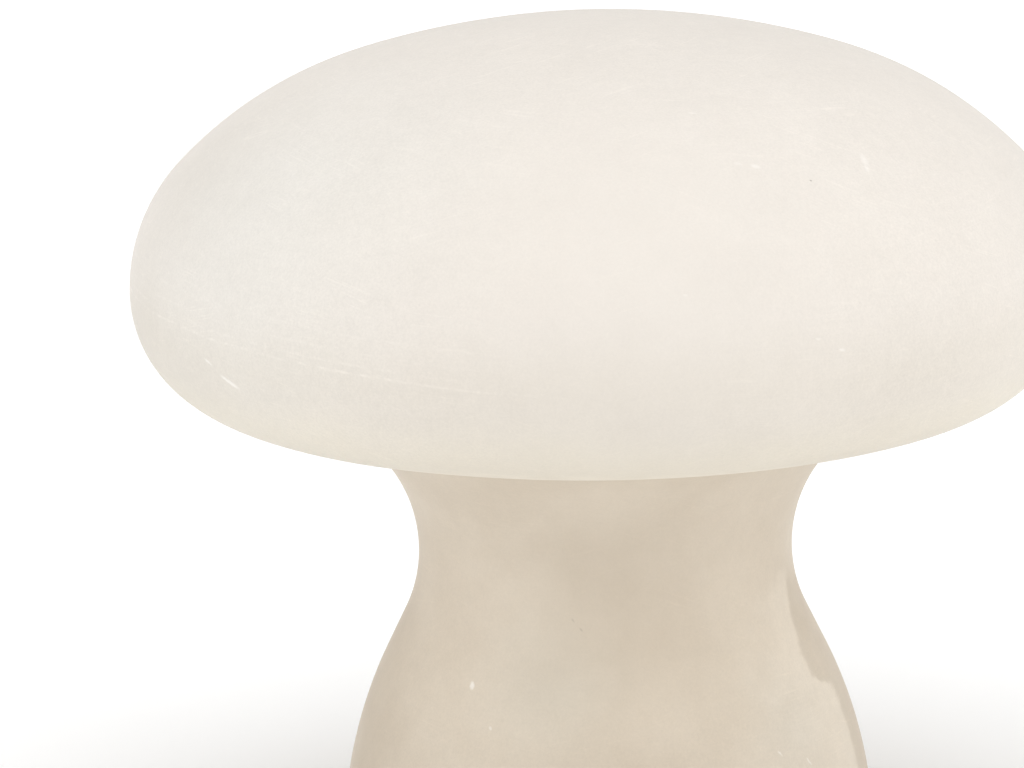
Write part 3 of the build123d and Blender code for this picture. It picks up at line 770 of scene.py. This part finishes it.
def long_scratches(kit):
    """The long scratches round the shade's left, each broken up along its way."""
    level = kit.vector("DOT_PRODUCT", kit.warped(scale=60.0, depth=0.0016), LONG_LEAN)
    side = kit.vector("DOT_PRODUCT", kit.place, LONG_WAY)
    reach = kit.times(kit.steps(side, *LONG_START), kit.steps(side, *LONG_END))
    broken = kit.steps(kit.noise(kit.place, scale=260.0, detail=3.0), low=0.36, high=0.66)
    total = 0.0
    for height, strength in LONG_SCRATCHES:
        off = kit.math("ABSOLUTE", kit.math("SUBTRACT", level, height * MM))
        total = kit.math("MAXIMUM", total, kit.steps(off, *LONG_WIDTH, 0.0, strength))
    return kit.times(total, reach, broken, LONG_STRENGTH)


def painted_stem_band(kit):
    """Painted shade in a darker band along the stem's right side with a ragged edge, and a painted highlight
    beside it.
    """
    parts = kit.node("ShaderNodeSeparateXYZ", {0: kit.warped(scale=130.0, depth=0.009)}).outputs
    turn = kit.math("ARCTAN2", parts[0], kit.times(parts[1], -1.0))
    edge = BAND_TURN
    for start, end, shift in BAND_TURNS:
        edge = kit.add(edge, kit.steps(parts[2], start, end, 0.0, shift))
    past = kit.math("SUBTRACT", turn, edge)
    # band is painted shade; pale is a painted highlight in front of it.
    band = kit.times(kit.steps(past, *BAND_EDGE), kit.steps(past, *BAND_REAR), BAND_DEPTH)
    pale = kit.times(kit.steps(past, *BAND_GLOW_RISE), kit.steps(past, *BAND_GLOW_END), BAND_GLOW)
    return kit.times(kit.add(band, pale), kit.steps(parts[2], *BAND_TOP))


def stone_tone(kit, soft, drifting, clouds_and_shade, marks):
    """How light the stone is, from 0 to 1: cloudy patches, placed spots (partly painted shade) and the given
    marks.
    """
    cloud = kit.noise(soft, scale=15.0, detail=4.0, rough=0.55)
    drift = kit.noise(kit.warped(scale=70.0, depth=0.006), scale=48.0, rough=0.6)
    placed = clouds_and_shade_sum(kit, soft, clouds_and_shade)
    tone = kit.add(0.5, placed, kit.swing(cloud, CLOUDING), kit.swing(drift, drifting), marks(kit))
    return kit.math("MINIMUM", kit.math("MAXIMUM", tone, 0.0), 1.0)


def tinted(kit, colour, soft, grades, tints):
    """A stone's colour changed by height (on the cap, painted shade and light) and in its tinted places."""
    height = kit.vector("DOT_PRODUCT", kit.warped(scale=30.0, depth=0.012), (0.0, 0.0, 1.0))
    for start, end, tint in grades:
        colour = kit.mix(kit.steps(height, start, end), colour, tint, blend="MULTIPLY")
    for middle, reach, tint in tints:
        away = kit.vector("DISTANCE", soft, tuple(v * MM for v in middle))
        colour = kit.mix(kit.steps(away, reach * MM, 0.0), colour, tint, blend="MULTIPLY")
    return colour


def stone_grain(kit):
    """The stone's grain: fine specks, mottle, turning marks and sanding scratches."""
    fine = kit.noise(kit.place, scale=1250.0, detail=3.0, rough=0.75)
    mottle = kit.noise(kit.place, scale=290.0, detail=3.0, rough=0.6)
    turned = turning_marks(kit, fineness=1100.0)
    scratch = 0.0
    for lean in SCRATCH_LEANS:
        scratch = kit.math("MAXIMUM", scratch, sanding_marks(kit, lean))
    coarse = (kit.swing(mottle, MOTTLE_SHARE), kit.swing(turned, TURNED_SHARE))
    return kit.add(kit.swing(fine), *coarse, kit.times(scratch, SCRATCH_SHARE))


def alabaster(name, tones, drifting, clouds_and_shade, grades, tints, wear, chips, pits, marks):
    """Cloudy satin stone with fine grain, faint turning marks, sanding scratches, chips and pits, and painted
    shade and light.
    """
    kit = Shading(name)
    soft = kit.warped(scale=24.0, depth=0.022)
    colour = kit.mix(stone_tone(kit, soft, drifting, clouds_and_shade, marks), *tones)
    colour = tinted(kit, colour, soft, grades, tints)
    grain = stone_grain(kit)
    smoothest, reach, least, most = wear
    strength = kit.steps(kit.vector("DISTANCE", kit.place, smoothest), 0.0, reach, least, most)
    colour = kit.scaled(colour, kit.add(1.0, kit.times(grain, strength)))
    ragged = kit.warped(scale=900.0, depth=0.0007)
    chip = spot_mask(kit, ragged, chips)
    pit = spot_mask(kit, ragged, pits)
    dent = kit.math("MAXIMUM", chip, pit)
    kit.set(
        Base_Color=kit.mix(pit, kit.mix(chip, colour, CHIP_TONE), PIT_TONE),
        Roughness=kit.add(STONE_ROUGH, kit.times(grain, GRAIN_ROUGH)),
        Normal=kit.bump(dent, -CHIP_DEPTH, under=kit.bump(grain, GRAIN_DEPTH)),
        **STONE_SKIN,
    )
    return kit.material


def shade_stone():
    """The cap's paler stone, with long scratches round its left, and painted shade on its left and low down.
    """
    return alabaster(
        "shade_alabaster",
        tones=SHADE_TONES,
        drifting=SHADE_DRIFT,
        clouds_and_shade=SHADE_PAINTED_LIGHT_SPOTS,
        grades=SHADE_PAINTED_SHADING,
        tints=SHADE_TINTS,
        wear=SHADE_WEAR,
        chips=SHADE_CHIPS,
        pits=SHADE_PITS,
        marks=long_scratches,
    )


def stem_stone():
    """The stem's browner stone, with painted shade on its left and a painted band of shade and highlight on
    its right.
    """
    return alabaster(
        "stem_alabaster",
        tones=STEM_TONES,
        drifting=STEM_DRIFT,
        clouds_and_shade=STEM_CLOUDS_AND_SHADE,
        grades=STEM_GRADES,
        tints=STEM_TINTS,
        wear=STEM_WEAR,
        chips=STEM_CHIPS,
        pits=STEM_PITS,
        marks=painted_stem_band,
    )


def metal(name, tones, rough, fineness=3000.0):
    """Metal with turning marks about the lamp's axis and a little tarnish."""
    kit = Shading(name)
    lines = turning_marks(kit, fineness)
    tarnish = kit.noise(kit.warped(scale=180.0, depth=0.002), scale=420.0, detail=4.0, rough=0.6)
    share = kit.add(kit.times(lines, 0.5), kit.times(tarnish, 0.5))
    kit.set(
        Base_Color=kit.mix(kit.steps(share, low=0.36, high=0.62), *tones),
        Metallic=1.0,
        Roughness=kit.steps(share, low=0.62, high=0.36, to_low=rough - 0.06, to_high=rough + 0.12),
        Normal=kit.bump(lines, depth=0.02 * MM),
    )
    return kit.material


def moulded(name, tones, rough, skin_depth=0.02 * MM, **settings):
    """Moulded plastic or rubber: a fine skin, faint flow marks and a little dust."""
    kit = Shading(name)
    flow = kit.noise(kit.warped(scale=60.0, depth=0.004), scale=130.0, detail=3.0)
    skin = kit.noise(kit.place, scale=4200.0)
    share = kit.add(kit.times(flow, 0.7), kit.times(skin, 0.3))
    kit.set(
        Base_Color=kit.mix(kit.steps(share, low=0.34, high=0.64), *tones),
        Roughness=kit.steps(share, low=0.3, high=0.7, to_low=rough - 0.05, to_high=rough + 0.08),
        Normal=kit.bump(skin, skin_depth),
        **settings,
    )
    return kit.material


def porcelain():
    """White glaze, slightly wavy, with a few tiny dark specks."""
    kit = Shading("porcelain_glaze")
    wave = kit.noise(kit.place, scale=160.0)
    speck = kit.steps(kit.noise(kit.place, scale=900.0, detail=1.0), low=0.79, high=0.83)
    pooled = kit.mix(kit.steps(wave, low=0.3, high=0.7), *GLAZE_TONES)
    kit.set(
        Base_Color=kit.mix(kit.times(speck, 0.6), pooled, GLAZE_SPECK),
        Roughness=kit.steps(wave, low=0.3, high=0.7, to_low=0.10, to_high=0.17),
        Normal=kit.bump(wave, depth=0.3 * MM),
        Coat_Weight=0.5,
        Coat_Roughness=0.05,
        Subsurface_Weight=0.15,
        Subsurface_Radius=(1.0, 0.9, 0.8),
        Subsurface_Scale=2.0 * MM,
    )
    return kit.material


def pressed_felt():
    """Wool felt: short crossing fibres, pressed flat, with paler hairs."""
    kit = Shading("pressed_felt")
    fibre = 0.0
    for lean in FIBRE_LEANS:
        across = kit.vector("DOT_PRODUCT", kit.warped(scale=300.0, depth=0.002), lean)
        lift = kit.upward(kit.times(across, FIBRE_ACROSS))
        hairs = kit.vector("ADD", kit.scaled(kit.place, FIBRE_ALONG), lift)
        fibre = kit.math("MAXIMUM", fibre, kit.noise(hairs, scale=1.0))
    patch = kit.noise(kit.place, scale=90.0, detail=4.0)
    share = kit.add(kit.times(fibre, 0.7), kit.times(patch, 0.3))
    kit.set(
        Base_Color=kit.mix(kit.steps(share, low=0.45, high=0.66), *FELT_TONES),
        Roughness=0.95,
        Normal=kit.bump(fibre, depth=0.4 * MM),
        Sheen_Weight=0.5,
        Sheen_Roughness=0.5,
    )
    return kit.material


def blown_glass(name, tones, rough, **settings):
    """Blown glass with faint thickness waves and a trace of dust."""
    kit = Shading(name)
    wave = kit.noise(kit.warped(scale=40.0, depth=0.006), scale=70.0)
    dust = kit.noise(kit.place, scale=2600.0)
    kit.set(
        Base_Color=kit.mix(kit.steps(wave, low=0.3, high=0.7), *tones),
        Roughness=kit.steps(dust, low=0.45, high=0.75, to_low=rough, to_high=rough + 0.1),
        Normal=kit.bump(wave, depth=0.15 * MM),
        **settings,
    )
    return kit.material


def dress(material, *nodes):
    """Gives CAD nodes their material."""
    for name in nodes:
        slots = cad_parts[name].data.materials
        slots.clear()
        slots.append(material)


def dress_fittings():
    """Materials of every CAD node whose own shape shows."""
    steel = metal("washer_steel", STEEL_TONES, rough=0.32)
    zinc = metal("zinc_plate", ZINC_TONES, rough=0.36)
    brass = metal("worked_brass", BRASS_TONES, rough=0.30)
    solder = metal("soft_solder", SOLDER_TONES, rough=0.42, fineness=900.0)
    black_glass = blown_glass("black_glass", BLACK_GLASS_TONES, rough=0.08)
    clear_glass = blown_glass(
        "clear_glass", CLEAR_GLASS_TONES, rough=0.02, Transmission_Weight=1.0, IOR=1.5
    )
    nylon = moulded("moulded_nylon", NYLON_TONES, rough=0.42)
    block = moulded("block_plastic", BLOCK_TONES, rough=0.36)
    brown = moulded("brown_insulation", BROWN_TONES, rough=0.30)
    blue = moulded("blue_insulation", BLUE_TONES, rough=0.30)
    phosphor = moulded("filament_coating", PHOSPHOR_TONES, rough=0.55, skin_depth=0.1 * MM)
    dress(steel, "base_washer", "top_washer")
    dress(zinc, "lamp_pipe", "base_lock_washer", "base_nut", "top_lock_washer", "top_nut")
    dress(zinc, "block_screws", "holder_screws", "terminal_screws", "filament_wires")
    dress(brass, "terminal_inserts", "holder_hub", "holder_terminals", "contact_spring", "screw_shell")
    dress(nylon, "pipe_end_bush")
    dress(block, "terminal_block")
    dress(brown, "line_lead")
    dress(blue, "neutral_lead")
    dress(porcelain(), "holder_cap", "holder_body")
    dress(solder, "bulb_contact")
    dress(black_glass, "bulb_insulator")
    dress(clear_glass, "bulb_mount")
    dress(phosphor, "bulb_filaments")


def make_fittings():
    """The ring, felt, bush and bulb pieces that stand for their CAD nodes."""
    soft = dict(Subsurface_Weight=0.4, Subsurface_Radius=(1.0, 0.95, 0.85), Subsurface_Scale=2.0 * MM)
    milky = dict(soft, Subsurface_Weight=0.8, Subsurface_Scale=6.0 * MM, Coat_Weight=0.2, Coat_Roughness=0.12)
    silicone = moulded("soft_silicone", SILICONE_TONES, rough=0.55, **soft)
    nylon = moulded("bush_nylon", NYLON_TONES, rough=0.40, **soft)
    opal = blown_glass("opal_glass", OPAL_TONES, rough=0.22, **milky)
    cap_metal = metal("rolled_cap", ROLLED_TONES, rough=0.28)
    felt = make_felt(pressed_felt())
    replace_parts(felt, "felt_pad")
    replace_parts(make_seat_ring(silicone), "seat_ring")
    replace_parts(make_bush(nylon), "cord_bush")
    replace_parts(make_globe(opal), "bulb_glass")
    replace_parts(make_screw_cap(cap_metal), "bulb_cap")


# Studio: how bright the surroundings are above and at the horizon, and between which heights of view
# they change. The floor's half width, its grey, and its glow away from the lamp: from and to these
# distances, and how strong. Soft boxes: name, place, size and power.
WORLD_LIGHT = 0.66
HORIZON_LIGHT = 1.0
HORIZON = (0.0, 0.15)
FLOOR_HALF = 6.0
FLOOR_GREY = 0.93
FLOOR_GLOWS = ((0.12, 0.40, 0.15), (0.60, 2.20, 0.22))
SOFT_BOXES = (
    ("top_box", (0.0, 0.0, 2.4), 2.0, 15.0),
    ("left_box", (-2.2, -0.6, 0.8), 1.6, 8.0),
    ("right_box", (2.2, -0.6, 0.8), 1.6, 11.0),
    ("front_left_box", (-1.3, -1.9, 2.0), 1.6, 12.8),
    ("front_right_box", (1.3, -1.9, 2.0), 1.6, 11.4),
)


def studio_floor():
    """White floor that glows faintly away from the lamp."""
    kit = Shading("studio_floor")
    away = kit.vector("LENGTH", kit.place)
    glow = 0.0
    for start, end, strength in FLOOR_GLOWS:
        glow = kit.add(glow, kit.steps(away, start, end, 0.0, strength))
    kit.set(Base_Color=grey(FLOOR_GREY), Roughness=0.9, Emission_Color=grey(1.0), Emission_Strength=glow)
    return kit.material


def soft_light(name, place, size, power):
    """A large soft light that shines on the lamp."""
    data = bpy.data.lights.new(name, "AREA")
    data.size = size
    data.energy = power
    light = bpy.data.objects.new(name, data)
    aim = Vector((0, 0, EQUATOR)) - Vector(place)
    light.matrix_world = Matrix.Translation(place) @ aim.to_track_quat("-Z", "Y").to_matrix().to_4x4()
    bpy.context.scene.collection.objects.link(light)


def make_surroundings():
    """White light from all sides, brightest along the horizon, where it meets the floor."""
    world = bpy.data.worlds.new("world")
    bpy.context.scene.world = world
    world.use_nodes = True
    tree = world.node_tree
    parts = tree.nodes.new("ShaderNodeSeparateXYZ")
    tree.links.new(tree.nodes.new("ShaderNodeTexCoord").outputs["Generated"], parts.inputs[0])
    glow = tree.nodes.new("ShaderNodeMapRange")
    glow.interpolation_type = "SMOOTHSTEP"
    for index, value in enumerate((*HORIZON, HORIZON_LIGHT, WORLD_LIGHT), 1):
        glow.inputs[index].default_value = value
    tree.links.new(parts.outputs[2], glow.inputs[0])
    tree.nodes["Background"].inputs[0].default_value = grey(1.0)
    tree.links.new(glow.outputs[0], tree.nodes["Background"].inputs[1])


def make_studio():
    """White floor, white surroundings and soft boxes above and on both sides."""
    bpy.context.scene.view_settings.view_transform = "Standard"
    bm = bmesh.new()
    bmesh.ops.create_grid(bm, x_segments=4, y_segments=4, size=FLOOR_HALF)
    mesh = bpy.data.meshes.new("floor")
    bm.to_mesh(mesh)
    bm.free()
    floor = bpy.data.objects.new("floor", mesh)
    bpy.context.scene.collection.objects.link(floor)
    mesh.materials.append(studio_floor())
    make_surroundings()
    for box in SOFT_BOXES:
        soft_light(*box)


make_camera()
make_studio()
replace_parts(make_shade(shade_stone()), "shade")
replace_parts(make_stem(stem_stone()), "stem")
make_fittings()
dress_fittings()
